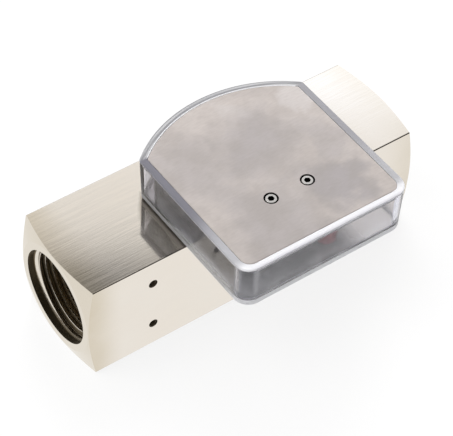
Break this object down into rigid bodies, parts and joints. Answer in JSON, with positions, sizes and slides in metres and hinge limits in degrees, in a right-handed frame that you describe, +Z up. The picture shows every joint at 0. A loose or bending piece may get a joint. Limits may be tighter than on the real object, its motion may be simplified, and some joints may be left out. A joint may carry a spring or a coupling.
{
  "type": "variable area flow meter",
  "caption": "Square metal in-line flow meter with female pipe ports, a spring-loaded float inside and a clear magnetic pointer housing with a metal lid on top.",
  "frame": {"origin": "centre of the underside of the square bar, the face it rests on", "axes": "+X along the flow from the inlet to the outlet, -Y towards the side where the indicator housing overhangs, +Z up"},
  "size_m": [0.131, 0.0725, 0.058],
  "materials": {
    "nickel_plate": "nickel-plated brass, finely brushed lengthwise",
    "stainless": "turned stainless steel",
    "spring_steel": "drawn spring steel",
    "screw_steel": "bright machine screws",
    "float_brass": "turned brass",
    "ferrite": "dark sintered magnet",
    "clear_plastic": "clear moulded plastic",
    "bare_plate": "bare metal plate, dull and faintly mottled",
    "black_plastic": "moulded black plastic",
    "red_paint": "red paint",
    "white_scale": "white scale strip with black marks"
  },
  "bodies": {
    "meter": {"meter_body": "nickel_plate", "inlet_spider": "stainless", "outlet_spider": "stainless", "metering_cone": "stainless", "cone_screw": "screw_steel", "inlet_retaining_ring": "spring_steel", "outlet_retaining_ring": "spring_steel", "return_spring": "spring_steel", "spring_seat": "float_brass", "indicator_housing": "clear_plastic", "housing_screws": "screw_steel", "lid_plate": "bare_plate", "lid_screws": "screw_steel", "pivot_bridge": "black_plastic", "bridge_screws": "screw_steel", "bearing_strap": "float_brass", "lower_bearing": "float_brass", "upper_bearing": "float_brass", "scale_strip": "white_scale"},
    "float": {"float_piston": "float_brass", "ring_magnet": "ferrite", "magnet_retainer": "float_brass"},
    "pointer": {"pivot_shaft": "stainless", "pointer_arm": "black_plastic", "needle": "red_paint", "follower_magnet": "ferrite", "balance_weight": "red_paint"}
  },
  "joints": [
    {"name": "float_slide", "type": "slide", "parent": "meter", "child": "float", "axis": [1, 0, 0], "range_m": [0, 0.032], "stiffness_N_per_m": 250, "springref_m": -0.008, "deforming": ["return_spring"]},
    {"name": "pointer_swing", "type": "hinge", "parent": "meter", "child": "pointer", "pos_m": [0.0035, -0.031, 0.0485], "axis": [0, 0, -1], "range_deg": [0, 64]}
  ],
  "couplings": [
    {"joint": "pointer_swing", "follows": "float_slide", "rad_per_m": 34.9}
  ]
}
